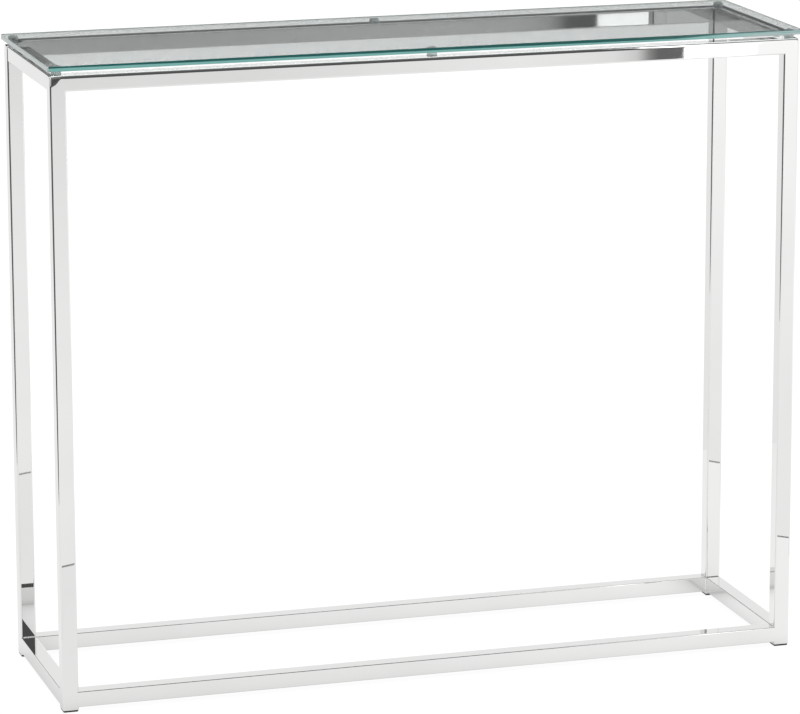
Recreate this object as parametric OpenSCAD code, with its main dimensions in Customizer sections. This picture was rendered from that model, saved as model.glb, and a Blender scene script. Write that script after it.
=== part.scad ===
// Console table: a welded frame of square tube, a loose glass top on clear
// bumpers, and a plastic glide in the bottom end of each leg.
//
// Millimetres. +Z is up, +X is the long side from left to right, +Y points to
// the rear. The origin is on the floor, under the centre of the table.

/* [Overall size] */
// Outside width of the metal frame, along the long side
table_w = 914.4; // [600:0.1:1400]
// Outside depth of the metal frame, from front to rear
table_d = 254; // [180:0.1:450]
// Height of the frame from the undersides of the bottom rails to its top
frame_h = 750.8; // [400:0.1:900]

/* [Square tube] */
// Outside width of the square tube
tube = 19.05; // [16:0.05:30]
// Outside corner radius of the square tube
tube_r = 2; // [1.4:0.1:3]
// Wall thickness of the square tube
wall = 1.2; // [0.8:0.1:1.2]
// How far each leg runs on below the bottom rails
leg_drop = 3; // [0:0.5:20]
// Thickness of the plate welded over the top of each leg
cap_t = 3.2; // [3:0.1:6]

/* [Glass top] */
// Thickness of the glass
glass_t = 6; // [4:0.05:12]
// How far the glass runs out past the frame on every side
glass_over = 3.2; // [0:0.1:10]
// Corner radius of the glass, seen from above
glass_corner = 2.5; // [1:0.5:10]
// Width of the ground bevel along the edges of the glass
glass_arris = 0.6; // [0.2:0.1:1.5]

/* [Bumpers] */
// Diameter of a bumper
bumper_d = 12; // [8:0.5:12]
// Height of a bumper, which is the gap between the frame and the glass
bumper_h = 5; // [3:0.1:8]
// Radius round the top edge of a bumper
bumper_edge = 1.8; // [0.5:0.1:2.5]

/* [Feet] */
// Width of the pad below the leg
foot_w = 18; // [14:0.5:19]
// Height of the pad below the leg
foot_h = 2.5; // [1.5:0.1:10]
// Height of the ribbed plug inside the leg
plug_h = 14; // [12:0.5:40]
// Clearance on each side between the plug's ribs and the tube's inner wall
plug_gap = 0.05; // [0.02:0.01:0.2]

/* [Hidden] */

// Curve resolution: curves stay exact in the solids, this is for the preview.
$fn = 64;

// Heights, all from the floor.
rail_low_z = foot_h + leg_drop;          // undersides of the bottom rails
frame_top = rail_low_z + frame_h;        // top of the metal frame
rail_high_z = frame_top - tube;          // undersides of the top rails
glass_z = frame_top + bumper_h;          // underside of the glass
glass_w = table_w + 2 * glass_over;
glass_d = table_d + 2 * glass_over;

// Centre lines of the legs and rails.
leg_x = table_w / 2 - tube / 2;
leg_y = table_d / 2 - tube / 2;

bore = tube - 2 * wall;                  // inside width of the tube
bore_r = tube_r - wall > 0.2 ? tube_r - wall : 0.2;

chrome = [0.80, 0.81, 0.82];
clear = [0.88, 0.93, 0.92, 0.6];
dark = [0.16, 0.16, 0.17];
green_glass = [0.62, 0.84, 0.78, 0.45];

// A rectangle with true round corners, centred.
module round_rect(w, d, r) {
    square([w - 2 * r, d], center = true);
    square([w, d - 2 * r], center = true);
    for (sx = [-1, 1], sy = [-1, 1])
        translate([sx * (w / 2 - r), sy * (d / 2 - r)]) circle(r = r);
}

// The outline of one leg as a solid bar, used to cope the rail ends.
module leg_bar(sx, sy) {
    translate([sx * leg_x, sy * leg_y, foot_h])
        linear_extrude(frame_top - foot_h) round_rect(tube, tube, tube_r);
}

// One upright leg: open at the bottom for the glide, closed at the top by a cap.
module leg(sx, sy) {
    color(chrome)
    translate([sx * leg_x, sy * leg_y, foot_h])
        linear_extrude(frame_top - cap_t - foot_h)
            difference() {
                round_rect(tube, tube, tube_r);
                round_rect(bore, bore, bore_r);
            }
}

// A side profile with its two top corners rounded, for the cap.
module crowned(w, h, r) {
    translate([-w / 2, 0]) square([w, h - r]);
    translate([-(w / 2 - r), 0]) square([w - 2 * r, h]);
    for (s = [-1, 1]) translate([s * (w / 2 - r), h - r]) circle(r = r);
}

// Plate welded over the leg and ground flush: its two outer top edges carry on
// the rounded edges of the rails, and its two inner sides stay square.
module leg_cap(sx, sy) {
    color(chrome)
    intersection() {
        translate([sx * leg_x, sy * leg_y, frame_top - cap_t])
            linear_extrude(cap_t) round_rect(tube, tube, tube_r);
        rotate([90, 0, 0])
            translate([0, 0, -table_d / 2 - 1])
                linear_extrude(table_d + 2) crowned(table_w, frame_top, tube_r);
        rotate([90, 0, 90])
            translate([0, 0, -table_w / 2 - 1])
                linear_extrude(table_w + 2) crowned(table_d, frame_top, tube_r);
    }
}

// Square tube along X, centred on x = 0, its underside at z = 0.
module tube_x(len) {
    translate([-len / 2, 0, tube / 2])
        rotate([90, 0, 90])
            linear_extrude(len)
                difference() {
                    round_rect(tube, tube, tube_r);
                    round_rect(bore, bore, bore_r);
                }
}

// Rail along the long side. Its ends are coped round the rounded corners of the
// legs, so that its faces run flush into theirs.
module long_rail(sy, z) {
    color(chrome)
    difference() {
        translate([0, sy * leg_y, z]) tube_x(table_w - 2 * tube + 2 * tube_r);
        leg_bar(-1, sy);
        leg_bar(1, sy);
    }
}

// Rail along the short side. It is coped on its outer side only, because the
// long rail fills the inner corner.
module short_rail(sx, z) {
    color(chrome)
    difference() {
        translate([sx * leg_x, 0, z]) rotate([0, 0, 90]) tube_x(table_d - 2 * tube + 2 * tube_r);
        leg_bar(sx, -1);
        leg_bar(sx, 1);
        for (sy = [-1, 1])
            translate([sx * (leg_x - tube / 4) - tube / 4 - 1, sy > 0 ? table_d / 2 - tube : -table_d / 2, z - 1])
                cube([tube / 2 + 2, tube, tube + 2]);
    }
}

// Glide: a pad under the leg, and a hollow plug with ribs that grips its bore.
module foot(sx, sy) {
    rib = bore - 2 * plug_gap;
    core = bore - 3;
    color(dark)
    translate([sx * leg_x, sy * leg_y, 0]) {
        linear_extrude(foot_h) round_rect(foot_w, foot_w, tube_r);
        translate([0, 0, foot_h - 0.01])
            linear_extrude(plug_h + 0.01)
                difference() {
                    round_rect(core, core, 1.5);
                    round_rect(core - 4, core - 4, 1);
                }
        for (i = [0 : 3])
            translate([0, 0, foot_h + 1.5 + i * (plug_h - 3) / 3.4])
                linear_extrude(1.2)
                    difference() {
                        round_rect(rib, rib, bore_r);
                        round_rect(core - 1, core - 1, 1);
                    }
    }
}

// Clear round bumper between the frame and the glass: round top edge, flat top.
module bumper(x, y) {
    r = bumper_d / 2;
    color(clear)
    translate([x, y, frame_top])
        rotate_extrude() {
            square([r - bumper_edge, bumper_h]);
            square([r, bumper_h - bumper_edge]);
            intersection() {
                translate([r - bumper_edge, bumper_h - bumper_edge]) circle(r = bumper_edge);
                square([r, bumper_h]);
            }
        }
}

// Cross-section of the glass with its ground bevels, w wide, standing on y = 0.
module glass_section(w) {
    a = glass_arris;
    polygon([[-w / 2 + a, 0], [w / 2 - a, 0], [w / 2, a], [w / 2, glass_t - a],
             [w / 2 - a, glass_t], [-w / 2 + a, glass_t], [-w / 2, glass_t - a], [-w / 2, a]]);
}

// Glass top: runs out a little past the frame all round and lies loose on the bumpers.
module glass() {
    color(green_glass)
    translate([0, 0, glass_z])
        intersection() {
            linear_extrude(glass_t) round_rect(glass_w, glass_d, glass_corner);
            rotate([90, 0, 0]) translate([0, 0, -glass_d]) linear_extrude(2 * glass_d) glass_section(glass_w);
            rotate([90, 0, 90]) translate([0, 0, -glass_w]) linear_extrude(2 * glass_w) glass_section(glass_d);
        }
}

leg(-1, -1);  // leg_front_left
leg(1, -1);  // leg_front_right
leg(-1, 1);  // leg_rear_left
leg(1, 1);  // leg_rear_right
leg_cap(-1, -1);  // leg_cap_front_left
leg_cap(1, -1);  // leg_cap_front_right
leg_cap(-1, 1);  // leg_cap_rear_left
leg_cap(1, 1);  // leg_cap_rear_right
long_rail(-1, rail_high_z);  // top_rail_front
long_rail(1, rail_high_z);  // top_rail_rear
short_rail(-1, rail_high_z);  // top_rail_left
short_rail(1, rail_high_z);  // top_rail_right
long_rail(-1, rail_low_z);  // bottom_rail_front
long_rail(1, rail_low_z);  // bottom_rail_rear
short_rail(-1, rail_low_z);  // bottom_rail_left
short_rail(1, rail_low_z);  // bottom_rail_right
foot(-1, -1);  // foot_front_left
foot(1, -1);  // foot_front_right
foot(-1, 1);  // foot_rear_left
foot(1, 1);  // foot_rear_right
bumper(-leg_x, -leg_y);  // bumper_front_left
bumper(0, -leg_y);  // bumper_front_middle
bumper(leg_x, -leg_y);  // bumper_front_right
bumper(-leg_x, leg_y);  // bumper_rear_left
bumper(0, leg_y);  // bumper_rear_middle
bumper(leg_x, leg_y);  // bumper_rear_right
glass();  // glass_top
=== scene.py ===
import math

import bpy
import numpy as np
from mathutils import Matrix, Vector


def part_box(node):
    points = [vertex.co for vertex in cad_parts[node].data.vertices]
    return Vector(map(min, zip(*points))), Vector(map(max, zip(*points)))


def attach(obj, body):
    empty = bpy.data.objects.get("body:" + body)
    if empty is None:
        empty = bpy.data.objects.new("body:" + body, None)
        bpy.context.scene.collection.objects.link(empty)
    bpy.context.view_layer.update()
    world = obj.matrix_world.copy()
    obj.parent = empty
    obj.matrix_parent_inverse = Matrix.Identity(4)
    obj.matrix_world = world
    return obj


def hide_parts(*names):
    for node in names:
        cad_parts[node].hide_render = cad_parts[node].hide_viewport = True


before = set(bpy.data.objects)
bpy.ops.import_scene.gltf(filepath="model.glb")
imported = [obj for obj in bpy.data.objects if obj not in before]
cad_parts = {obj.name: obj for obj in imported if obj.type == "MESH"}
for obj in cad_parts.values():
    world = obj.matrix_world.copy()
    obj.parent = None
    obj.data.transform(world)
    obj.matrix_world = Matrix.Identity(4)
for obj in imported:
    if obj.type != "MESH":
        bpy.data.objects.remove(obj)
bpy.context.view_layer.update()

# ---------------------------------------------------------------- sizes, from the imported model
def lohi(node):
    lo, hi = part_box(node)
    return np.array(lo), np.array(hi)

leg_lo, leg_hi = lohi("leg_front_right")
cap_lo, cap_hi = lohi("leg_cap_front_right")
T = float(leg_hi[0] - leg_lo[0])                 # tube width
W = 2 * float(leg_hi[0])                         # frame width
D = -2 * float(leg_lo[1])                        # frame depth
TOP = float(cap_hi[2])                           # top of the metal frame
CAP_Z = float(cap_lo[2])
LEG_Z = float(leg_lo[2])
RAIL_LOW = float(lohi("bottom_rail_front")[0][2])
RAIL_HIGH = float(lohi("top_rail_front")[0][2])
XI, YI = W / 2 - T, D / 2 - T                    # inner faces of the legs
R = 0.002                                        # corner radius of the tube
WALL = 0.0012
BORE_R = R - WALL


# ---------------------------------------------------------------- mesh building
class Skin:
    """Patches with exact normals, welded into one mesh. A patch is a grid of points and normals."""

    def __init__(self):
        self.p, self.n, self.faces, self.mats = [], [], [], []
        self.quads, self.quad_mats = [], []
        self.count = 0

    def grid(self, p, n, closed=False, mat=0):
        p, n = np.asarray(p, float), np.asarray(n, float)
        a, b = p.shape[:2]
        ids = self.count + np.arange(a * b).reshape(a, b)
        self.p.append(p.reshape(-1, 3))
        self.n.append(n.reshape(-1, 3))
        self.count += a * b
        nxt = np.roll(ids, -1, axis=1)
        last = b if closed else b - 1
        quads = np.stack([ids[:-1, :last], nxt[:-1, :last], nxt[1:, :last], ids[1:, :last]], -1).reshape(-1, 4)
        self.quads.append(quads)
        self.quad_mats.append(np.full(len(quads), mat))

    def flat(self, loop, normal, mat=0):
        loop = np.asarray(loop, float)
        self.p.append(loop)
        self.n.append(np.tile(np.asarray(normal, float), (len(loop), 1)))
        self.faces.append(list(range(self.count, self.count + len(loop))))
        self.mats.append(mat)
        self.count += len(loop)

    def build(self, name, materials, field=None, polish=None):
        p, n = np.concatenate(self.p), np.concatenate(self.n)
        n = n / np.maximum(np.linalg.norm(n, axis=1, keepdims=True), 1e-12)
        if field is not None:
            h = 2e-5
            base = field(p)
            jac = np.zeros((len(p), 3, 3))
            for k in range(3):
                q = p.copy()
                q[:, k] += h
                jac[:, :, k] = (field(q) - base) / h
                if polish is not None:
                    jac[:, :, k] += (polish(q) - polish(p)) / h
            m = np.linalg.inv(np.eye(3)[None] + jac)
            n = np.einsum("aji,aj->ai", m, n)
            n = n / np.maximum(np.linalg.norm(n, axis=1, keepdims=True), 1e-12)
            p = p + base
        key = np.round(p * 1e7).astype(np.int64)
        _, first, inverse = np.unique(key, axis=0, return_index=True, return_inverse=True)
        inverse = inverse.reshape(-1)
        quads, quad_mats = np.concatenate(self.quads), np.concatenate(self.quad_mats)
        ordered = np.sort(inverse[quads], axis=1)
        whole = (np.diff(ordered, axis=1) > 0).all(1)
        odd = [(list(f), m) for f, m in zip(quads[~whole].tolist(), quad_mats[~whole].tolist())]
        quads, quad_mats = quads[whole], quad_mats[whole]
        c = p[quads]
        g = np.cross(c[:, 2] - c[:, 0], c[:, 3] - c[:, 1])
        back = (g * n[quads].mean(1)).sum(1) < 0
        quads[back] = quads[back][:, ::-1]
        faces = inverse[quads].tolist()
        loops = n[quads].reshape(-1, 3).tolist()
        mats = quad_mats.tolist()
        for f, mat in list(zip(self.faces, self.mats)) + odd:
            ids, seen = [], set()
            for i in f:
                if int(inverse[i]) not in seen:
                    seen.add(int(inverse[i]))
                    ids.append(i)
            if len(ids) < 3:
                continue
            c = p[ids]
            g = np.cross(c - c[0], np.roll(c, -1, axis=0) - c[0]).sum(0)
            if np.linalg.norm(g) < 1e-16:
                continue
            if g @ n[ids].mean(0) < 0:
                ids = ids[::-1]
            faces.append([int(inverse[i]) for i in ids])
            loops.extend(n[ids].tolist())
            mats.append(mat)
        mesh = bpy.data.meshes.new(name)
        mesh.from_pydata(p[first].tolist(), [], faces)
        for m in materials:
            mesh.materials.append(m)
        mesh.polygons.foreach_set("material_index", mats)
        mesh.polygons.foreach_set("use_smooth", [True] * len(faces))
        mesh.update()
        mesh.normals_split_custom_set(loops)
        obj = bpy.data.objects.new(name, mesh)
        bpy.context.scene.collection.objects.link(obj)
        return obj


def profile(w, r, flats=10, arcs=8):
    """A rounded square as rows of (u, v, nu, nv), anticlockwise."""
    out = []
    c = w / 2 - r
    centres = [(c, c), (-c, c), (-c, -c), (c, -c)]
    for k, (cu, cv) in enumerate(centres):
        a0 = k * math.pi / 2
        for i in range(arcs + 1):
            a = a0 + math.pi / 2 * i / arcs
            out.append((cu + r * math.cos(a), cv + r * math.sin(a), math.cos(a), math.sin(a)))
        u0, v0, nu, nv = out[-1]
        nxt = centres[(k + 1) % 4]
        a1 = (k + 1) * math.pi / 2
        u1, v1 = nxt[0] + r * math.cos(a1), nxt[1] + r * math.sin(a1)
        for i in range(1, flats):
            t = i / flats
            out.append((u0 + (u1 - u0) * t, v0 + (v1 - v0) * t, nu, nv))
    return np.array(out)


OUTER, INNER = profile(T, R), profile(T - 2 * WALL, BORE_R)
NEAR = np.array([0.0006, 0.0015, 0.0026, 0.004, 0.0055, 0.0072, 0.009, 0.0115, 0.0145, 0.018, 0.023, 0.031, 0.045])


# The surfaces near the welds are ground and polished by hand, so they are a little low and
# wavy there, and the outer corners of the top are rounded off more than the tube is.
def bump(x, s):
    return np.exp(-(x / s) ** 2)


def step(x, a, b):
    t = np.clip((x - a) / (b - a), 0, 1)
    return t * t * (3 - 2 * t)


CORNERS = {(-1, -1): (0.0075, 0.00082), (-1, 1): (0.0062, 0.00055), (1, -1): (0.0058, 0.00050), (1, 1): (0.0056, 0.00050)}


def weld_field(p):
    x, y, z = p[:, 0], p[:, 1], p[:, 2]
    ax, ay = np.abs(x), np.abs(y)
    sx, sy = np.where(x < 0, -1.0, 1.0), np.where(y < 0, -1.0, 1.0)
    f = np.zeros_like(p)
    # rounder outer corners at the top
    for cx in (-1, 1):
        for cy in (-1, 1):
            d = np.sqrt((x - cx * W / 2) ** 2 + (y - cy * D / 2) ** 2 + (z - TOP) ** 2)
            size, depth = CORNERS[(cx, cy)]
            a = depth * bump(d, size)
            f[:, 0] -= cx * a * 0.6
            f[:, 1] -= cy * a * 0.6
            f[:, 2] -= a * 0.62
    zone = step(z, RAIL_HIGH - 0.006, RAIL_HIGH + 0.002) + step(-z, -(RAIL_LOW + T + 0.006), -(RAIL_LOW + T - 0.002))
    wav = 1 + 0.45 * np.sin(z * 610 + x * 90) * np.sin(y * 530 + 1.3)
    seam_x = bump(ax - XI - 0.0006, 0.0042) * wav
    seam_y = bump(ay - YI - 0.0004, 0.0040) * wav
    out_y = step(ay, D / 2 - 0.0045, D / 2 - 0.0004)
    out_x = step(ax, W / 2 - 0.0045, W / 2 - 0.0004)
    out_z = step(z, TOP - 0.0045, TOP - 0.0004)
    a = 0.000018
    f[:, 1] -= sy * a * seam_x * out_y * zone
    f[:, 0] -= sx * a * seam_y * out_x * zone
    f[:, 2] -= a * (seam_x * step(ay, YI - 0.002, YI + 0.002) + seam_y * step(ax, XI - 0.002, XI + 0.002)) * out_z
    return f


EASE_V = np.linspace(0, 0.006, 601)
EASE_S = 0.32 * np.clip(EASE_V / 0.002, 0, 1) * (1 - step(EASE_V, 0.0028, 0.0041))
EASE_A = (np.cumsum(EASE_S[::-1]) * (EASE_V[1] - EASE_V[0]))[::-1]
SEAM_Y = np.linspace(-0.0048, 0.0024, 361)
SEAM_A = np.cumsum(0.95 * step(SEAM_Y, -0.0040, -0.0026) * (1 - step(SEAM_Y, 0.0002, 0.0014))) * (SEAM_Y[1] - SEAM_Y[0])


def polish_field(p):
    """Where the front left corner was dressed by hand the face leans back a little; this turns the
    surface without moving it."""
    x, y, z = p[:, 0], p[:, 1], p[:, 2]
    u, v = x + W / 2, TOP - z
    low = 0.0060 * (1 - np.clip(u / 0.0140, 0, 2) ** 5) + 0.0058 * np.exp(-(u / 0.0036) ** 2)
    q = low - v + 0.0004 * np.sin(u * 1100)
    g = 0.5 * (q + np.sqrt(q * q + 0.0006 ** 2))
    near = step(-u, -0.024, -0.016) * step(-v, -0.020, -0.013)
    f = np.zeros_like(p)
    f[:, 1] = 0.16 * g * near * step(-y, D / 2 - 0.004, D / 2 - 0.0015)
    # all round the top the outer edges are buffed a little rounder than the tube came
    lean = np.interp(v, EASE_V, EASE_A)
    f[:, 1] += -np.sign(y) * lean * step(np.abs(y), D / 2 - 0.004, D / 2 - 0.0015)
    f[:, 0] += -np.sign(x) * lean * step(np.abs(x), W / 2 - 0.004, W / 2 - 0.0015)
    # the rear left seam was left undressed: the leg's rounded edge shows on up past the rail's end
    seam = np.where((z > RAIL_HIGH - 0.0008) & (x < 0) & (y > 0), np.interp(y - YI, SEAM_Y, SEAM_A), 0.0)
    f[:, 0] -= seam * step(-x, W / 2 - 0.004, W / 2 - 0.0015)
    return f


def cope(d):
    """How far a rail runs on past the flat of a leg, at depth d below the rail's outer face."""
    d = np.clip(d, 0, None)
    return np.where(d < R, R - np.sqrt(np.clip(R * R - (R - d) ** 2, 0, None)), 0.0)


def leg_skin(sx, sy):
    s = Skin()
    cx, cy = sx * (W / 2 - T / 2), sy * (D / 2 - T / 2)
    lo, hi = LEG_Z, CAP_Z
    z = [lo, lo + 0.0008, lo + 0.003]
    z += list(np.linspace(RAIL_LOW + 0.0015, RAIL_LOW + T + 0.008, 14))
    z += list(np.linspace(0.05, RAIL_HIGH - 0.02, 26))
    z += list(np.linspace(RAIL_HIGH - 0.010, hi - 0.0009, 22)) + [hi - 0.0006, hi - 0.0003, hi]
    z = np.array(sorted(z))
    for prof, sign in ((OUTER, 1), (INNER, -1)):
        p = np.zeros((len(z), len(prof), 3))
        n = np.zeros_like(p)
        p[..., 0] = cx + prof[:, 0]
        p[..., 1] = cy + prof[:, 1]
        p[..., 2] = z[:, None]
        n[..., 0], n[..., 1] = sign * prof[:, 2], sign * prof[:, 3]
        s.grid(p, n, closed=True)
    for zz, nz in ((lo, -1), (hi, 1)):
        p = np.zeros((2, len(OUTER), 3))
        for i, prof in enumerate((OUTER, INNER)):
            p[i, :, 0], p[i, :, 1], p[i, :, 2] = cx + prof[:, 0], cy + prof[:, 1], zz
        n = np.zeros_like(p)
        n[..., 2] = nz
        s.grid(p, n, closed=True)
    return s


def rail_skin(axis, side, z0, r=R):
    """axis 0: a long rail along X on the front (side -1) or rear. axis 1: a short rail along Y."""
    s = Skin()
    end = XI if axis == 0 else YI
    centre = side * ((D if axis == 0 else W) / 2 - T / 2)
    mid = np.linspace(-1, 1, 41) * (end - 0.06)
    rings = []
    for prof, sign in ((profile(T, r, 26), 1), (profile(T - 2 * WALL, BORE_R, 26), -1)):
        u, v = prof[:, 0], prof[:, 1]
        out_d, in_d = T / 2 - side * u, T / 2 + side * u   # depth from the outer and from the inner face
        ext = cope(out_d)
        if axis == 0:
            ext = ext + cope(in_d)
        stations = [-(end + ext)] + [np.full(len(prof), -(end - k)) for k in NEAR] + [np.full(len(prof), m) for m in mid]
        stations += [np.full(len(prof), end - k) for k in NEAR[::-1]] + [end + ext]
        t = np.array(stations)
        p, n = np.zeros((len(t), len(prof), 3)), np.zeros((len(t), len(prof), 3))
        o = 1 - axis
        p[..., axis] = t
        p[..., o] = centre + u
        p[..., 2] = z0 + T / 2 + v
        n[..., o], n[..., 2] = sign * prof[:, 2], sign * prof[:, 3]
        s.grid(p, n, closed=True)
        rings.append((p[0], p[-1]))
    for k, direction in ((0, -1), (1, 1)):
        p = np.array([rings[0][k], rings[1][k]])
        n = np.zeros_like(p)
        n[..., axis] = direction
        s.grid(p, n, closed=True)
    return s


def cap_skin(sx, sy):
    """The plate over a leg, in the corner's own frame (a inwards from the outer end face, b inwards from the outer long face)."""
    s = Skin()
    angles = np.linspace(0, math.pi / 2, 10)
    b_rows = list(R * (1 - np.cos(angles))) + list(np.linspace(R, T - R, 13)[1:-1]) + list(T - R * (1 - np.cos(angles[::-1])))
    rows, nrm = [], []
    for b in b_rows:
        b = float(np.clip(b, 0, T))
        ins_b = cope(np.array(b)) if b < R else (cope(np.array(T - b)) if T - b < R else 0.0)
        a_lo, a_hi = float(ins_b), T - float(ins_b)
        rr = math.sqrt(max(R * R - (R - b) ** 2, 0)) if b < R else R
        hb = rr if b < R else R                       # height above TOP - R on the flat of this row
        pts, ns = [], []
        if b < R:
            for al in angles:
                a = R - rr * math.cos(al)
                pts.append((a, b, TOP - R + rr * math.sin(al)))
                ns.append((-rr * math.cos(al), -(R - b), rr * math.sin(al)))
        else:
            c0 = min(1.0, (R - a_lo) / R)
            al0 = math.acos(c0)
            for al in al0 + (math.pi / 2 - al0) * np.linspace(0, 1, 10):
                a = R - R * math.cos(al)
                pts.append((a, b, TOP - R + R * math.sin(al)))
                ns.append((-math.cos(al), 0, math.sin(al)))
        right = list(np.linspace(R, T - R, 13)[1:]) + list(T - R + (a_hi - (T - R)) * np.sin(angles[1:]))
        for a in right:
            pts.append((a, b, TOP - R + hb))
            ns.append((0, -(R - b) if b < R else 0, hb))
        rows.append(pts)
        nrm.append(ns)
    rows, nrm = np.array(rows), np.array(nrm)

    def place(q):
        q = np.asarray(q, float)
        return np.stack([sx * (W / 2 - q[..., 0]), sy * (D / 2 - q[..., 1]), q[..., 2]], -1)

    def turn(q):
        q = np.asarray(q, float)
        return np.stack([-sx * q[..., 0], -sy * q[..., 1], q[..., 2]], -1)

    s.grid(place(rows), turn(nrm))
    # the outline of the top grid, in order, and walls from it down to the leg
    a_n, b_n = rows.shape[:2]
    loop = [rows[0, j] for j in range(b_n)] + [rows[i, b_n - 1] for i in range(1, a_n)]
    loop += [rows[a_n - 1, j] for j in range(b_n - 2, -1, -1)] + [rows[i, 0] for i in range(a_n - 2, 0, -1)]
    keep = []
    for q in loop:
        if not keep or np.linalg.norm(q - keep[-1]) > 1e-8:
            keep.append(q)
    if np.linalg.norm(keep[0] - keep[-1]) < 1e-8:
        keep.pop()
    loop = np.array(keep)
    ia, ib = np.clip(loop[:, 0], R, T - R), np.clip(loop[:, 1], R, T - R)
    nn = np.stack([loop[:, 0] - ia, loop[:, 1] - ib, np.zeros(len(loop))], -1)
    nn /= np.maximum(np.linalg.norm(nn, axis=1, keepdims=True), 1e-9)
    strips = []
    for t in (0, 0.25, 0.5, 0.75, 1):
        q = loop.copy()
        q[:, 2] = loop[:, 2] + (CAP_Z - loop[:, 2]) * t
        strips.append(q)
    s.grid(place(strips), turn(np.tile(nn, (5, 1, 1))), closed=True)
    s.flat(place(strips[-1]), (0, 0, -1))
    return s


def bead(s, start, along, e1, e2, length, size, seed, back=0.00012):
    """One weld fillet: it runs from start along 'along', in the angle between e1 and e2."""
    along, e1, e2 = (np.array(v, float) for v in (along, e1, e2))
    m, k = 40, 9
    t = np.linspace(0, 1, m)
    th = np.linspace(0, math.pi / 2, k)
    ripple = 1 + 0.055 * np.sin(t * length / 0.00115 * 2 * math.pi / 1.0 + seed) + 0.05 * np.sin(t * 7 + seed * 2.1)
    taper = np.clip(np.minimum(t, 1 - t) / 0.10, 0, 1) ** 0.5
    sz = size * ripple * (0.35 + 0.65 * taper)
    p = np.zeros((m, k, 3))
    for i in range(m):
        c = sz[i]
        bulge = 0.24 * c * np.sin(2 * th) ** 2
        r1 = c - c * np.sin(th)      # along e1
        r2 = c - c * np.cos(th)      # along e2
        q = np.outer(r1 + bulge * 0.7, e1) + np.outer(r2 + bulge * 0.7, e2)
        lag = 0.00045 * np.sin(2 * th)                # the ripples are crescents
        p[i] = np.array(start) + along * (t[i] * length) + np.outer(lag * taper[i], along) + q
    du = np.gradient(p, axis=0)
    dv = np.gradient(p, axis=1)
    n = np.cross(du, dv)
    n /= np.maximum(np.linalg.norm(n, axis=-1, keepdims=True), 1e-12)
    flip = np.sign((n * (e1 + e2)).sum(-1, keepdims=True))
    s.grid(p, n * np.where(flip == 0, 1, flip))
    corner = np.array(start) - back * (e1 + e2) + np.outer(t * length, along)
    s.grid(np.stack([p[:, 0], corner], 1), np.tile(-e2, (m, 2, 1)))
    s.grid(np.stack([p[:, -1], corner], 1), np.tile(-e1, (m, 2, 1)))
    s.flat(np.vstack([p[0], corner[:1]]), -along)
    s.flat(np.vstack([p[-1], corner[-1:]]), along)


def welds_skin(sx, sy, top):
    s = Skin()
    z = RAIL_HIGH if top else RAIL_LOW + T
    up = -1.0 if top else 1.0
    seed = (sx * 1.7 + sy * 2.9 + (5.1 if top else 0)) % 6.28
    size = 0.0015 if top else 0.0010
    # leg to long rail, and leg to short rail
    bead(s, (sx * XI, sy * (D / 2 - R * 0.8), z), (0, -sy, 0), (-sx, 0, 0), (0, 0, up), T - R * 1.1, size, seed)
    bead(s, (sx * (W / 2 - R * 0.8), sy * YI, z), (-sx, 0, 0), (0, -sy, 0), (0, 0, up), T - R * 1.1, size, seed + 1)
    # long rail to short rail, up the inner corner
    z0 = (RAIL_HIGH if top else RAIL_LOW) + R * 0.4
    bead(s, (sx * XI, sy * YI, z0), (0, 0, 1), (-sx, 0, 0), (0, -sy, 0), T - R * 0.9, size * 0.95, seed + 2)
    return s


def rounded_loop(w, d, r, n=10):
    out = []
    for k, (cx, cy) in enumerate(((1, 1), (-1, 1), (-1, -1), (1, -1))):
        for i in range(n + 1):
            a = k * math.pi / 2 + math.pi / 2 * i / n
            out.append((cx * (w / 2 - r) + r * math.cos(a), cy * (d / 2 - r) + r * math.sin(a), math.cos(a), math.sin(a)))
    return np.array(out)


def plate_rings(s, cx, cy, w, d, r, rings, mat=0, mats=None):
    """A plate with a shaped edge: rings are (inset, z, outward, up) pairs of band starts and ends."""
    loops = []
    for k, (inset, z) in enumerate(rings):
        lp = rounded_loop(w - 2 * inset, d - 2 * inset, max(r - inset, 0.0001))
        loops.append((np.stack([cx + lp[:, 0], cy + lp[:, 1], np.full(len(lp), z)], -1), lp[:, 2:4]))
    for k in range(len(rings) - 1):
        (i0, z0), (i1, z1) = rings[k], rings[k + 1]
        dz, di = z1 - z0, i0 - i1
        ln = math.hypot(dz, di)
        if ln < 1e-9:
            continue
        nr, nz = dz / ln, -di / ln
        p = np.stack([loops[k][0], loops[k + 1][0]])
        n = np.zeros_like(p)
        for m in (0, 1):
            n[m, :, 0], n[m, :, 1], n[m, :, 2] = loops[k][1][:, 0] * nr, loops[k][1][:, 1] * nr, nz
        s.grid(p, n, closed=True, mat=mat if mats is None else mats[k])
    s.flat(loops[0][0], (0, 0, -1), mat=0)
    s.flat(loops[-1][0], (0, 0, 1), mat=0)


EDGE_LEAN = math.tan(math.radians(3.9))


def glass_skin():
    s = Skin()
    lo, hi = lohi("glass_top")
    w, d = hi[0] - lo[0], hi[1] - lo[1]
    a = 0.0006
    z0, z1 = float(lo[2]) + 0.00002, float(hi[2])
    c = 0.00012
    lean = EDGE_LEAN * (z1 - z0)                     # the edges are ground a little off square, in at the top
    rings = [(a, z0), (a - c, z0 + c * 0.55), (c, z0 + a - c * 0.9), (0, z0 + a + c * 0.4), (0, z1 - a - c * 0.4), (c, z1 - a + c * 0.9), (a - c, z1 - c * 0.55), (a, z1)]
    rings = [(i + lean * (z - z0) / (z1 - z0), z) for i, z in rings]
    plate_rings(s, 0, 0, w, d, 0.0025, rings, mats=[1] * 7)
    return s


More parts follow.
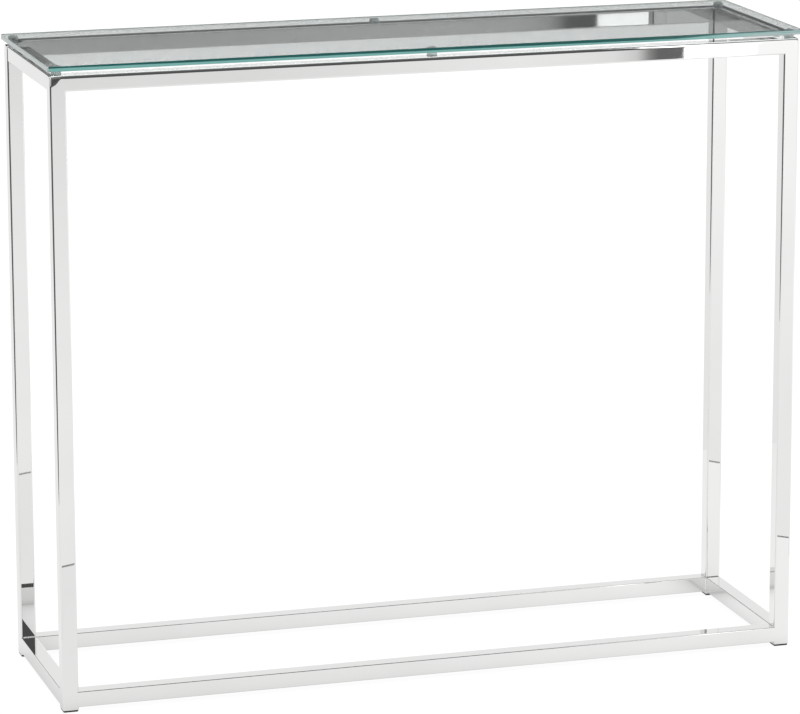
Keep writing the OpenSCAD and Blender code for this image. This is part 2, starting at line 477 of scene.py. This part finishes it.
def bumper_skin(node):
    s = Skin()
    lo, hi = lohi(node)
    cx, cy = (lo[0] + hi[0]) / 2, (lo[1] + hi[1]) / 2
    r, h = (hi[0] - lo[0]) / 2, hi[2] - lo[2]
    pts = [(0, 0, 0, -1), (r - 0.0004, 0, 0, -1)]
    for a in np.linspace(0, math.pi / 2, 5):
        pts.append((r - 0.0004 + 0.0004 * math.sin(a), 0.0004 - 0.0004 * math.cos(a), math.sin(a), -math.cos(a)))
    e = 0.0021
    for a in np.linspace(0, math.pi / 2, 14):
        pts.append((r - e + e * math.cos(a) - 0.00008 * math.sin(a), h - e + e * math.sin(a) - 0.00003 * (a > 1.5), math.cos(a) + 0.02, math.sin(a)))
    pts += [(0.0011, h - 0.00003, 0, 1), (0.0009, h - 0.0001, -0.6, 0.8), (0.0006, h - 0.00028, -0.5, 0.9), (0, h - 0.00032, 0, 1)]
    q = np.array(pts)
    ang = np.linspace(0, 2 * math.pi, 65)[:-1]
    p, n = np.zeros((len(q), 64, 3)), np.zeros((len(q), 64, 3))
    p[..., 0] = cx + q[:, None, 0] * np.cos(ang)
    p[..., 1] = cy + q[:, None, 0] * np.sin(ang)
    p[..., 2] = float(lo[2]) + 0.00001 + q[:, None, 1]
    n[..., 0] = q[:, None, 2] * np.cos(ang)
    n[..., 1] = q[:, None, 2] * np.sin(ang)
    n[..., 2] = q[:, None, 3]
    s.grid(p, n, closed=True)
    return s


def foot_skin(node, sx, sy):
    s = Skin()
    lo, hi = lohi(node)
    cx, cy = sx * (W / 2 - T / 2), sy * (D / 2 - T / 2)
    w = hi[0] - lo[0]
    h = LEG_Z
    rings = [(0.0008, 0.0), (0.00045, 0.00012), (0.00015, 0.00042), (0, 0.0009), (0, h - 0.0005), (0.00012, h - 0.0002), (0.0004, h)]
    plate_rings(s, cx, cy, w, w, 0.002, rings)
    core = T - 2 * WALL - 0.003
    top = float(hi[2])
    plate_rings(s, cx, cy, core, core, 0.0015, [(0, h - 0.0002), (0, top - 0.0006), (0.0006, top)])
    rib = T - 2 * WALL - 0.0001
    plug = top - h
    for i in range(4):
        z = h + 0.0015 + i * (plug - 0.003) / 3.4
        plate_rings(s, cx, cy, rib, rib, BORE_R, [(0.0003, z), (0, z + 0.0004), (0, z + 0.0008), (0.0003, z + 0.0012)])
    return s


# ---------------------------------------------------------------- materials
def new_material(name):
    m = bpy.data.materials.new(name)
    m.use_nodes = True
    m.node_tree.nodes.clear()
    return m, m.node_tree.nodes, m.node_tree.links


def add(nodes, kind, **values):
    n = nodes.new(kind)
    for k, v in values.items():
        setattr(n, k, v)
    return n


def math_node(nodes, links, op, a, b=None, clamp=False):
    n = nodes.new("ShaderNodeMath")
    n.operation = op
    n.use_clamp = clamp
    for i, v in enumerate((a, b)):
        if v is None:
            continue
        if isinstance(v, (int, float)):
            n.inputs[i].default_value = v
        else:
            links.new(v, n.inputs[i])
    return n.outputs[0]


def ramp_values(nodes, links, source, lo, hi, stops):
    """A smooth run of values over lo..hi of the source."""
    f = math_node(nodes, links, "MULTIPLY", math_node(nodes, links, "SUBTRACT", source, lo), 1 / (hi - lo), clamp=True)
    r = add(nodes, "ShaderNodeValToRGB")
    e = r.color_ramp.elements
    e[0].position, e[1].position = (stops[0][0] - lo) / (hi - lo), (stops[-1][0] - lo) / (hi - lo)
    e[0].color, e[1].color = (stops[0][1] / 2,) * 3 + (1,), (stops[-1][1] / 2,) * 3 + (1,)
    for pos, v in stops[1:-1]:
        k = e.new((pos - lo) / (hi - lo))
        k.color = (v / 2, v / 2, v / 2, 1)
    links.new(f, r.inputs["Fac"])
    return math_node(nodes, links, "MULTIPLY", r.outputs["Color"], 2.0)


def chrome(name, stretch):
    m, nodes, links = new_material(name)
    out = add(nodes, "ShaderNodeOutputMaterial")
    b = add(nodes, "ShaderNodeBsdfPrincipled")
    links.new(b.outputs[0], out.inputs[0])
    b.inputs["Metallic"].default_value = 1.0
    tc = add(nodes, "ShaderNodeTexCoord")
    # tone: almost even, a little cooler in cloudy patches
    cloud = add(nodes, "ShaderNodeTexNoise")
    cloud.inputs["Scale"].default_value = 9.0
    cloud.inputs["Detail"].default_value = 3.0
    links.new(tc.outputs["Object"], cloud.inputs["Vector"])
    ramp = add(nodes, "ShaderNodeValToRGB")
    ramp.color_ramp.elements[0].position, ramp.color_ramp.elements[1].position = 0.3, 0.7
    ramp.color_ramp.elements[0].color = (0.785, 0.785, 0.779, 1)
    ramp.color_ramp.elements[1].color = (0.812, 0.812, 0.806, 1)
    links.new(cloud.outputs["Fac"], ramp.inputs["Fac"])
    links.new(ramp.outputs["Color"], b.inputs["Base Color"])
    # polishing lines run along the tube
    mp = add(nodes, "ShaderNodeMapping")
    mp.inputs["Scale"].default_value = stretch
    links.new(tc.outputs["Object"], mp.inputs["Vector"])
    lines = add(nodes, "ShaderNodeTexNoise")
    lines.inputs["Scale"].default_value = 1.0
    lines.inputs["Detail"].default_value = 4.0
    lines.inputs["Roughness"].default_value = 0.65
    links.new(mp.outputs["Vector"], lines.inputs["Vector"])
    # hand-polished zones near the welds are a little less bright
    sep = add(nodes, "ShaderNodeSeparateXYZ")
    links.new(tc.outputs["Object"], sep.inputs[0])
    ax = math_node(nodes, links, "ABSOLUTE", sep.outputs["X"])
    ay = math_node(nodes, links, "ABSOLUTE", sep.outputs["Y"])
    zx = math_node(nodes, links, "MULTIPLY", math_node(nodes, links, "SUBTRACT", ax, XI - 0.016), 1 / 0.016, clamp=True)
    zy = math_node(nodes, links, "MULTIPLY", math_node(nodes, links, "SUBTRACT", ay, YI - 0.016), 1 / 0.016, clamp=True)
    zh = math_node(nodes, links, "MULTIPLY", math_node(nodes, links, "SUBTRACT", sep.outputs["Z"], RAIL_HIGH - 0.012), 1 / 0.012, clamp=True)
    zl = math_node(nodes, links, "MULTIPLY", math_node(nodes, links, "SUBTRACT", RAIL_LOW + T + 0.012, sep.outputs["Z"]), 1 / 0.012, clamp=True)
    zone = math_node(nodes, links, "MULTIPLY", math_node(nodes, links, "MULTIPLY", zx, zy), math_node(nodes, links, "MAXIMUM", zh, zl))
    smear = add(nodes, "ShaderNodeTexNoise")
    smear.inputs["Scale"].default_value = 38.0
    smear.inputs["Detail"].default_value = 5.0
    links.new(tc.outputs["Object"], smear.inputs["Vector"])
    rough = math_node(nodes, links, "MULTIPLY", smear.outputs["Fac"], 0.012)
    rough = math_node(nodes, links, "ADD", rough, math_node(nodes, links, "MULTIPLY", lines.outputs["Fac"], 0.010))
    rough = math_node(nodes, links, "ADD", rough, math_node(nodes, links, "MULTIPLY", zone, 0.014))
    rough = math_node(nodes, links, "ADD", rough, 0.004)
    links.new(rough, b.inputs["Roughness"])
    bump1 = add(nodes, "ShaderNodeBump")
    bump1.inputs["Strength"].default_value = 0.03
    bump1.inputs["Distance"].default_value = 0.00004
    links.new(lines.outputs["Fac"], bump1.inputs["Height"])
    wave = add(nodes, "ShaderNodeTexNoise")
    wave.inputs["Scale"].default_value = 55.0
    wave.inputs["Detail"].default_value = 1.0
    links.new(tc.outputs["Object"], wave.inputs["Vector"])
    bump2 = add(nodes, "ShaderNodeBump")
    bump2.inputs["Strength"].default_value = 0.07
    bump2.inputs["Distance"].default_value = 0.00006
    links.new(wave.outputs["Fac"], bump2.inputs["Height"])
    links.new(bump1.outputs["Normal"], bump2.inputs["Normal"])
    links.new(bump2.outputs["Normal"], b.inputs["Normal"])
    return m


def glass_material(name, edge):
    m, nodes, links = new_material(name)
    out = add(nodes, "ShaderNodeOutputMaterial")
    b = add(nodes, "ShaderNodeBsdfPrincipled")
    links.new(b.outputs[0], out.inputs["Surface"])
    b.inputs["Base Color"].default_value = (0.992, 1.0, 0.997, 1)
    b.inputs["Transmission Weight"].default_value = 1.0
    b.inputs["IOR"].default_value = 1.52
    tc = add(nodes, "ShaderNodeTexCoord")
    n1 = add(nodes, "ShaderNodeTexNoise")
    n1.inputs["Detail"].default_value = 4.0
    links.new(tc.outputs["Object"], n1.inputs["Vector"])
    if edge:
        n1.inputs["Scale"].default_value = 260.0
        r = math_node(nodes, links, "ADD", math_node(nodes, links, "MULTIPLY", n1.outputs["Fac"], 0.05), 0.02)
        dist = 0.00002
    else:
        n1.inputs["Scale"].default_value = 14.0
        mask = add(nodes, "ShaderNodeValToRGB")
        mask.color_ramp.elements[0].position, mask.color_ramp.elements[1].position = 0.60, 0.80
        links.new(n1.outputs["Fac"], mask.inputs["Fac"])
        r = math_node(nodes, links, "MULTIPLY", mask.outputs["Color"], 0.004)
        dist = 0.0000015
    links.new(r, b.inputs["Roughness"])
    bp = add(nodes, "ShaderNodeBump")
    bp.inputs["Strength"].default_value = 0.15
    bp.inputs["Distance"].default_value = dist
    links.new(n1.outputs["Fac"], bp.inputs["Height"])
    links.new(bp.outputs["Normal"], b.inputs["Normal"])
    v = add(nodes, "ShaderNodeVolumeAbsorption")
    v.inputs["Color"].default_value = (0.26, 0.53, 0.51, 1)
    v.inputs["Density"].default_value = 10.0
    links.new(v.outputs[0], out.inputs["Volume"])
    return m


def edge_material():
    """The ground edge of the sheet: green from the depth of glass behind it, with painted shade as a darker band along
    the top, and painted light at the right end and along the short sides.
    """
    lo, hi = lohi("glass_top")
    m, nodes, links = new_material("glass_edge")
    out = add(nodes, "ShaderNodeOutputMaterial")
    b = add(nodes, "ShaderNodeBsdfPrincipled")
    tc = add(nodes, "ShaderNodeTexCoord")
    sep = add(nodes, "ShaderNodeSeparateXYZ")
    links.new(tc.outputs["Object"], sep.inputs[0])
    x, y, z = sep.outputs["X"], sep.outputs["Y"], sep.outputs["Z"]

    def op(kind, a, b=None, clamp=False):
        return math_node(nodes, links, kind, a, b, clamp)

    mp = add(nodes, "ShaderNodeMapping")
    mp.inputs["Scale"].default_value = (28, 28, 900)
    links.new(tc.outputs["Object"], mp.inputs["Vector"])
    streak = add(nodes, "ShaderNodeTexNoise")
    streak.inputs["Scale"].default_value = 1.0
    streak.inputs["Detail"].default_value = 3.0
    links.new(mp.outputs["Vector"], streak.inputs["Vector"])
    up = op("MULTIPLY", op("SUBTRACT", z, float(lo[2])), 1 / float(hi[2] - lo[2]))
    # painted shade: above this height, which changes along the edge, the top of the edge is painted as a dark band
    split = ramp_values(nodes, links, x, -0.46, 0.46, [(-0.455, 0.62), (-0.3, 0.48), (0.0, 0.44), (0.2, 0.36), (0.30, 0.34), (0.36, 0.70), (0.45, 0.78)])
    split = op("ADD", split, op("MULTIPLY", op("SUBTRACT", streak.outputs["Fac"], 0.5), 0.10))
    dark = op("MULTIPLY", op("SUBTRACT", up, split), 9.0, True)
    mix = add(nodes, "ShaderNodeMix", data_type="RGBA")
    mix.inputs[6].default_value = (0.25, 0.56, 0.52, 1)
    mix.inputs[7].default_value = (0.025, 0.125, 0.115, 1)
    links.new(dark, mix.inputs[0])
    # painted light: paler at the right end, with painted glints, and along the short sides
    side = op("GREATER_THAN", op("ABSOLUTE", x), float(hi[0]) - 0.0015)
    end = op("MULTIPLY", op("SUBTRACT", x, 0.33), 9.0, True)
    painted_glints = op("MULTIPLY", op("SUBTRACT", streak.outputs["Fac"], 0.36), 4.0, True)
    painted_light = op("MAXIMUM", op("MULTIPLY", side, 0.92), op("MULTIPLY", end, op("MULTIPLY", painted_glints, op("SUBTRACT", 1.0, op("MULTIPLY", dark, 0.7)))), True)
    # painted light colour that the pale mask mixes in
    mix2 = add(nodes, "ShaderNodeMix", data_type="RGBA")
    mix2.inputs[7].default_value = (0.60, 0.64, 0.64, 1)
    links.new(painted_light, mix2.inputs[0])
    links.new(mix.outputs[2], mix2.inputs[6])
    links.new(mix2.outputs[2], b.inputs["Base Color"])
    links.new(op("ADD", op("MULTIPLY", streak.outputs["Fac"], 0.10), 0.10), b.inputs["Roughness"])
    bp = add(nodes, "ShaderNodeBump")
    bp.inputs["Strength"].default_value = 0.10
    bp.inputs["Distance"].default_value = 0.00002
    links.new(streak.outputs["Fac"], bp.inputs["Height"])
    links.new(bp.outputs["Normal"], b.inputs["Normal"])
    # a little of what lies behind still shows through
    g = add(nodes, "ShaderNodeBsdfGlass")
    g.inputs["Color"].default_value = (0.8, 1.0, 0.97, 1)
    g.inputs["IOR"].default_value = 1.52
    links.new(op("MULTIPLY", streak.outputs["Fac"], 0.06), g.inputs["Roughness"])
    sh = add(nodes, "ShaderNodeMixShader")
    sh.inputs[0].default_value = 0.12
    links.new(b.outputs[0], sh.inputs[1])
    links.new(g.outputs[0], sh.inputs[2])
    links.new(sh.outputs[0], out.inputs["Surface"])
    v = add(nodes, "ShaderNodeVolumeAbsorption")
    v.inputs["Color"].default_value = (0.26, 0.53, 0.51, 1)
    v.inputs["Density"].default_value = 10.0
    links.new(v.outputs[0], out.inputs["Volume"])
    return m


def bumper_material():
    m, nodes, links = new_material("clear_bumper")
    out = add(nodes, "ShaderNodeOutputMaterial")
    b = add(nodes, "ShaderNodeBsdfPrincipled")
    links.new(b.outputs[0], out.inputs["Surface"])
    b.inputs["Base Color"].default_value = (0.90, 0.97, 0.96, 1)
    b.inputs["Transmission Weight"].default_value = 0.34
    b.inputs["IOR"].default_value = 1.48
    tc = add(nodes, "ShaderNodeTexCoord")
    n1 = add(nodes, "ShaderNodeTexNoise")
    n1.inputs["Scale"].default_value = 420.0
    links.new(tc.outputs["Object"], n1.inputs["Vector"])
    r = math_node(nodes, links, "ADD", math_node(nodes, links, "MULTIPLY", n1.outputs["Fac"], 0.05), 0.02)
    links.new(r, b.inputs["Roughness"])
    bp = add(nodes, "ShaderNodeBump")
    bp.inputs["Strength"].default_value = 0.25
    bp.inputs["Distance"].default_value = 0.00005
    links.new(n1.outputs["Fac"], bp.inputs["Height"])
    links.new(bp.outputs["Normal"], b.inputs["Normal"])
    v = add(nodes, "ShaderNodeVolumeAbsorption")
    v.inputs["Color"].default_value = (0.75, 0.90, 0.88, 1)
    v.inputs["Density"].default_value = 14.0
    links.new(v.outputs[0], out.inputs["Volume"])
    return m


def foot_material():
    m, nodes, links = new_material("foot_plastic")
    out = add(nodes, "ShaderNodeOutputMaterial")
    b = add(nodes, "ShaderNodeBsdfPrincipled")
    links.new(b.outputs[0], out.inputs["Surface"])
    tc = add(nodes, "ShaderNodeTexCoord")
    grain = add(nodes, "ShaderNodeTexNoise")
    grain.inputs["Scale"].default_value = 2600.0
    grain.inputs["Detail"].default_value = 2.0
    links.new(tc.outputs["Object"], grain.inputs["Vector"])
    dust = add(nodes, "ShaderNodeTexNoise")
    dust.inputs["Scale"].default_value = 170.0
    dust.inputs["Detail"].default_value = 5.0
    links.new(tc.outputs["Object"], dust.inputs["Vector"])
    sep = add(nodes, "ShaderNodeSeparateXYZ")
    links.new(tc.outputs["Object"], sep.inputs[0])
    low = math_node(nodes, links, "SUBTRACT", 1.0, math_node(nodes, links, "MULTIPLY", sep.outputs["Z"], 1 / 0.0016), clamp=True)
    f = math_node(nodes, links, "MULTIPLY", low, dust.outputs["Fac"])
    mix = add(nodes, "ShaderNodeMix", data_type="RGBA")
    mix.inputs[6].default_value = (0.018, 0.018, 0.019, 1)
    mix.inputs[7].default_value = (0.10, 0.098, 0.094, 1)
    links.new(f, mix.inputs[0])
    links.new(mix.outputs[2], b.inputs["Base Color"])
    links.new(math_node(nodes, links, "ADD", math_node(nodes, links, "MULTIPLY", dust.outputs["Fac"], 0.2), 0.38), b.inputs["Roughness"])
    bp = add(nodes, "ShaderNodeBump")
    bp.inputs["Strength"].default_value = 0.35
    bp.inputs["Distance"].default_value = 0.00008
    links.new(grain.outputs["Fac"], bp.inputs["Height"])
    links.new(bp.outputs["Normal"], b.inputs["Normal"])
    return m


CHROME_X = chrome("chrome_along_x", (14, 1500, 1500))
CHROME_Y = chrome("chrome_along_y", (1500, 14, 1500))
CHROME_Z = chrome("chrome_along_z", (1500, 1500, 14))
CHROME_W = chrome("chrome_weld", (300, 300, 300))
GLASS = glass_material("glass_sheet", False)
GLASS_EDGE = edge_material()
BUMPER = bumper_material()
FOOT = foot_material()

# ---------------------------------------------------------------- pieces
def piece(obj, body, slot, *nodes):
    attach(obj, body)
    if nodes:
        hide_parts(*nodes)
    return obj


for name, sx, sy in (("front_left", -1, -1), ("front_right", 1, -1), ("rear_left", -1, 1), ("rear_right", 1, 1)):
    piece(leg_skin(sx, sy).build("chromed_leg_" + name, [CHROME_Z], weld_field, polish_field), "frame", "chrome", "leg_" + name)
    piece(cap_skin(sx, sy).build("chromed_cap_" + name, [CHROME_X], weld_field, polish_field), "frame", "chrome", "leg_cap_" + name)
    piece(foot_skin("foot_" + name, sx, sy).build("glide_" + name, [FOOT]), "frame", "foot_plastic", "foot_" + name)
    for level, top in (("top", True), ("bottom", False)):
        piece(welds_skin(sx, sy, top).build("weld_" + level + "_" + name, [CHROME_W]), "frame", "chrome")
for level, z in (("top", RAIL_HIGH), ("bottom", RAIL_LOW)):
    for name, axis, side in (("front", 0, -1), ("rear", 0, 1), ("left", 1, -1), ("right", 1, 1)):
        node = level + "_rail_" + name
        piece(rail_skin(axis, side, z, R if level == "top" else 0.0011).build("chromed_" + node, [CHROME_X if axis == 0 else CHROME_Y], weld_field, polish_field), "frame", "chrome", node)
for name in ("front_left", "front_middle", "front_right", "rear_left", "rear_middle", "rear_right"):
    piece(bumper_skin("bumper_" + name).build("clear_bumper_" + name, [BUMPER]), "frame", "clear_bumper", "bumper_" + name)
piece(glass_skin().build("glass_sheet", [GLASS, GLASS_EDGE]), "glass_top", "glass", "glass_top")

# ---------------------------------------------------------------- studio
def plane(name, corners, material):
    mesh = bpy.data.meshes.new(name)
    mesh.from_pydata(corners, [], [list(range(len(corners)))])
    mesh.materials.append(material)
    obj = bpy.data.objects.new(name, mesh)
    bpy.context.scene.collection.objects.link(obj)
    return obj


def reflected_only(obj):
    """A studio card: it lights and shows in the metal, and isn't in the picture itself."""
    obj.visible_camera = False
    obj.visible_diffuse = False
    obj.visible_shadow = False
    obj.visible_volume_scatter = False
    return obj


def card_material(name, level, cover=None):
    """level and cover take (nodes, links, x, y, z) and give the brightness and the opacity."""
    m, nodes, links = new_material(name)
    out = add(nodes, "ShaderNodeOutputMaterial")
    e = add(nodes, "ShaderNodeEmission")
    tc = add(nodes, "ShaderNodeTexCoord")
    sep = add(nodes, "ShaderNodeSeparateXYZ")
    links.new(tc.outputs["Object"], sep.inputs[0])
    xyz = (sep.outputs["X"], sep.outputs["Y"], sep.outputs["Z"])
    links.new(level(nodes, links, *xyz), e.inputs["Strength"])
    if cover is None:
        links.new(e.outputs[0], out.inputs[0])
        return m
    clear = add(nodes, "ShaderNodeBsdfTransparent")
    mix = add(nodes, "ShaderNodeMixShader")
    links.new(cover(nodes, links, *xyz), mix.inputs[0])
    links.new(clear.outputs[0], mix.inputs[1])
    links.new(e.outputs[0], mix.inputs[2])
    links.new(mix.outputs[0], out.inputs[0])
    return m


def floor_material():
    """Pale paper floor: white in the picture, with faint painted shade where something stands on it. In the
    metal it shows with the thin line of the turntable's rim, and the dark room beyond the paper."""
    m, nodes, links = new_material("paper_floor")

    def op(kind, a, b=None, clamp=False):
        return math_node(nodes, links, kind, a, b, clamp)

    out = add(nodes, "ShaderNodeOutputMaterial")
    lp = add(nodes, "ShaderNodeLightPath")
    ao = add(nodes, "ShaderNodeAmbientOcclusion")
    ao.samples = 6
    ao.inputs["Distance"].default_value = 0.07
    # painted shade in the picture: the floor's glow is a little lower by ambient occlusion near what stands on it
    seen = add(nodes, "ShaderNodeEmission")
    links.new(op("ADD", op("MULTIPLY", ao.outputs["AO"], 0.08), 0.96), seen.inputs["Strength"])
    tc = add(nodes, "ShaderNodeTexCoord")
    sep = add(nodes, "ShaderNodeSeparateXYZ")
    links.new(tc.outputs["Object"], sep.inputs[0])
    x, y = sep.outputs["X"], sep.outputs["Y"]
    level = ramp_values(nodes, links, y, -5.0, 0.0, [(-4.6, 0.872), (-3.85, 0.915), (-3.28, 0.95), (-2.8, 0.972), (-2.17, 0.998), (-1.4, 1.01), (-0.9, 1.0), (-0.6, 0.985), (-0.1, 0.96), (0.0, 0.94)])
    level = op("ADD", level, op("MULTIPLY", op("SUBTRACT", x, 1.0, True), 0.20))
    # inside the rim it is a touch darker to the left and brighter to the right
    r = op("SQRT", op("ADD", op("POWER", op("SUBTRACT", x, 0.057), 2.0), op("POWER", op("ADD", y, 0.0045), 2.0)))
    inside = op("LESS_THAN", r, 0.83)
    disc = ramp_values(nodes, links, x, -0.5, 0.9, [(-0.4, 0.95), (0.0, 0.985), (0.45, 1.05), (0.8, 1.08)])
    level = op("ADD", op("MULTIPLY", level, op("SUBTRACT", 1.0, inside)), op("MULTIPLY", disc, inside))
    rim = op("MULTIPLY", op("LESS_THAN", op("ABSOLUTE", op("SUBTRACT", r, 0.83)), 0.0034), op("LESS_THAN", y, -0.2))
    level = op("ADD", op("MULTIPLY", level, op("SUBTRACT", 1.0, rim)), op("MULTIPLY", rim, 0.28))
    # the paper's edges
    on = op("MULTIPLY", op("GREATER_THAN", x, -1.4), op("GREATER_THAN", y, -5.4))
    level = op("ADD", op("MULTIPLY", level, on), op("MULTIPLY", op("SUBTRACT", 1.0, on), 0.11))
    # through the glass it is lit paper all over
    through = lp.outputs["Is Transmission Ray"]
    level = op("ADD", op("MULTIPLY", level, op("SUBTRACT", 1.0, through)), op("MULTIPLY", through, 1.45))
    # painted shade close to what stands on it
    level = op("MULTIPLY", level, op("ADD", op("MULTIPLY", ao.outputs["AO"], 0.48), 0.52))
    mirrored = add(nodes, "ShaderNodeEmission")
    links.new(level, mirrored.inputs["Strength"])
    mix = add(nodes, "ShaderNodeMixShader")
    links.new(lp.outputs["Is Camera Ray"], mix.inputs[0])
    links.new(mirrored.outputs[0], mix.inputs[1])
    links.new(seen.outputs[0], mix.inputs[2])
    links.new(mix.outputs[0], out.inputs[0])
    return m


def upright(name, x0, x1, y, z0, z1, material):
    return reflected_only(plane(name, [(x0, y, z0), (x1, y, z0), (x1, y, z1), (x0, y, z1)], material))


S = 60.0
plane("floor", [(-S, -S, 0), (S, -S, 0), (S, S, 0), (-S, S, 0)], floor_material())


def back_level(nodes, links, x, y, z):
    """The back paper is lit hardest low down and to the right."""
    across = ramp_values(nodes, links, x, -0.6, 0.2, [(-0.5, 0.0), (0.1, 1.0)])
    low = ramp_values(nodes, links, z, 0.4, 0.95, [(0.5, 1.0), (0.85, 0.0)])
    lit = math_node(nodes, links, "MAXIMUM", math_node(nodes, links, "MULTIPLY", across, low), add(nodes, "ShaderNodeLightPath").outputs["Is Transmission Ray"])
    return math_node(nodes, links, "ADD", math_node(nodes, links, "MULTIPLY", lit, 0.57), 0.94)


BACK_Y, BACK_H = 3.1, 1.1
upright("back_paper", -3.2, 3.2, BACK_Y, 0, BACK_H, card_material("back_paper", back_level))


# a bright screen in front on the right, with a soft-edged dark flag beside it, and a screen on the right
def screen_level(nodes, links, x, y, z):
    up = ramp_values(nodes, links, z, 0.0, 1.0, [(0.05, 1.05), (0.40, 1.16), (0.9, 1.16)])
    edge = ramp_values(nodes, links, x, 1.2, 1.5, [(1.23, 1.75), (1.345, 1.7), (1.375, 0.03)])
    return math_node(nodes, links, "ADD", up, edge)


def flag_cover(nodes, links, x, y, z):
    return ramp_values(nodes, links, x, 0.9, 1.3, [(0.92, 0.0), (1.006, 0.06), (1.097, 0.18), (1.140, 0.38), (1.163, 0.85), (1.180, 1.0)])


def even(value):
    return lambda nodes, links, x, y, z: ramp_values(nodes, links, z, 0.0, 3.0, [(0.0, value), (3.0, value * 0.97)])


front_screen = upright("front_screen", 1.232, 2.7, -2.56, 0.04, 2.4, card_material("front_screen", screen_level))
flag = upright("flag", 0.92, 1.231, -2.55, 0.05, 1.1, card_material("flag", even(0.16), flag_cover))
right_screen = reflected_only(plane("right_screen", [(2.7, -2.5, 0.0), (2.7, 3.05, 0.0), (2.7, 3.05, 2.2), (2.7, -2.5, 2.2)], card_material("right_screen", even(1.0))))
for card in (front_screen, flag, right_screen):
    card.visible_transmission = False

world = bpy.data.worlds.new("studio")
bpy.context.scene.world = world
world.use_nodes = True
wn, wl = world.node_tree.nodes, world.node_tree.links
wn.clear()
wout = add(wn, "ShaderNodeOutputWorld")
lp = add(wn, "ShaderNodeLightPath")
tc = add(wn, "ShaderNodeTexCoord")
sep = add(wn, "ShaderNodeSeparateXYZ")
wl.new(tc.outputs["Generated"], sep.inputs[0])
ramp = add(wn, "ShaderNodeValToRGB")
els = ramp.color_ramp.elements
els[0].position, els[0].color = 0.0, (0.10, 0.10, 0.10, 1)
els[1].position, els[1].color = 1.0, (0.28, 0.28, 0.28, 1)
for pos, v in ((0.52, 0.075), (0.68, 0.10), (0.80, 0.16), (0.90, 0.24)):
    e = els.new(pos)
    e.color = (v, v, v, 1)
height = math_node(wn, wl, "ADD", math_node(wn, wl, "MULTIPLY", sep.outputs["Z"], 0.5), 0.5)
wl.new(height, ramp.inputs["Fac"])
behind = math_node(wn, wl, "MULTIPLY", math_node(wn, wl, "ADD", sep.outputs["Y"], 0.05), 6.0, clamp=True)
above = math_node(wn, wl, "MULTIPLY", math_node(wn, wl, "SUBTRACT", sep.outputs["Z"], 0.32), 5.0, clamp=True)
canopy = math_node(wn, wl, "MULTIPLY", math_node(wn, wl, "MULTIPLY", behind, above), 0.80)
through = math_node(wn, wl, "MULTIPLY", lp.outputs["Is Transmission Ray"], math_node(wn, wl, "MULTIPLY", math_node(wn, wl, "SUBTRACT", sep.outputs["Z"], 0.36), 6.0, clamp=True))
canopy = math_node(wn, wl, "MAXIMUM", canopy, through)
off_axis = math_node(wn, wl, "ABSOLUTE", math_node(wn, wl, "SUBTRACT", sep.outputs["X"], 0.08))
off_axis = math_node(wn, wl, "MULTIPLY", math_node(wn, wl, "SUBTRACT", off_axis, 0.60), 5.0, clamp=True)
toward = math_node(wn, wl, "MULTIPLY", math_node(wn, wl, "SUBTRACT", 0.60, sep.outputs["Y"]), 5.0, clamp=True)
room_fill = math_node(wn, wl, "MULTIPLY", math_node(wn, wl, "MULTIPLY", off_axis, toward), 0.50)
canopy = math_node(wn, wl, "ADD", canopy, room_fill)
room = add(wn, "ShaderNodeBackground")
wl.new(math_node(wn, wl, "ADD", ramp.outputs["Color"], canopy), room.inputs["Color"])
white = add(wn, "ShaderNodeBackground")
white.inputs["Color"].default_value = (1.02, 1.02, 1.02, 1)
mix = add(wn, "ShaderNodeMixShader")
wl.new(lp.outputs["Is Camera Ray"], mix.inputs[0])
wl.new(room.outputs[0], mix.inputs[1])
wl.new(white.outputs[0], mix.inputs[2])
wl.new(mix.outputs[0], wout.inputs[0])

sun = bpy.data.lights.new("softbox", "AREA")
sun.shape = "RECTANGLE"
sun.size, sun.size_y = 2.4, 1.6
sun.energy = 60
box_light = bpy.data.objects.new("softbox", sun)
box_light.location = (-0.8, -1.2, 2.9)
box_light.rotation_euler = (math.radians(24), math.radians(-14), 0)
box_light.visible_glossy = False
box_light.visible_transmission = False
bpy.context.scene.collection.objects.link(box_light)

# ---------------------------------------------------------------- camera
AZ, EL, ROLL = 0.2952, 0.2275, -0.0029
spot = np.array([-1.0153 - 0.4572, -4.7017 - 0.1270, 1.5325 + RAIL_LOW])
fwd = np.array([math.sin(AZ) * math.cos(EL), math.cos(AZ) * math.cos(EL), -math.sin(EL)])
right = np.array([math.cos(AZ), -math.sin(AZ), 0.0])
down = np.cross(fwd, right)
right, down = math.cos(ROLL) * right - math.sin(ROLL) * down, math.sin(ROLL) * right + math.cos(ROLL) * down
cam = bpy.data.cameras.new("camera")
cam.sensor_fit = "HORIZONTAL"
cam.sensor_width = 36.0
cam.lens = 4273.0 / 800 * 36
cam.clip_start, cam.clip_end = 0.1, 400
cam_obj = bpy.data.objects.new("camera", cam)
m = Matrix.Identity(4)
for i in range(3):
    m[i][0], m[i][1], m[i][2], m[i][3] = right[i], -down[i], -fwd[i], spot[i]
cam_obj.matrix_world = m
bpy.context.scene.collection.objects.link(cam_obj)
bpy.context.scene.camera = cam_obj

scene = bpy.context.scene
scene.view_settings.view_transform = "Standard"
scene.view_settings.look = "None"
scene.view_settings.exposure = 0.0
scene.view_settings.gamma = 1.0
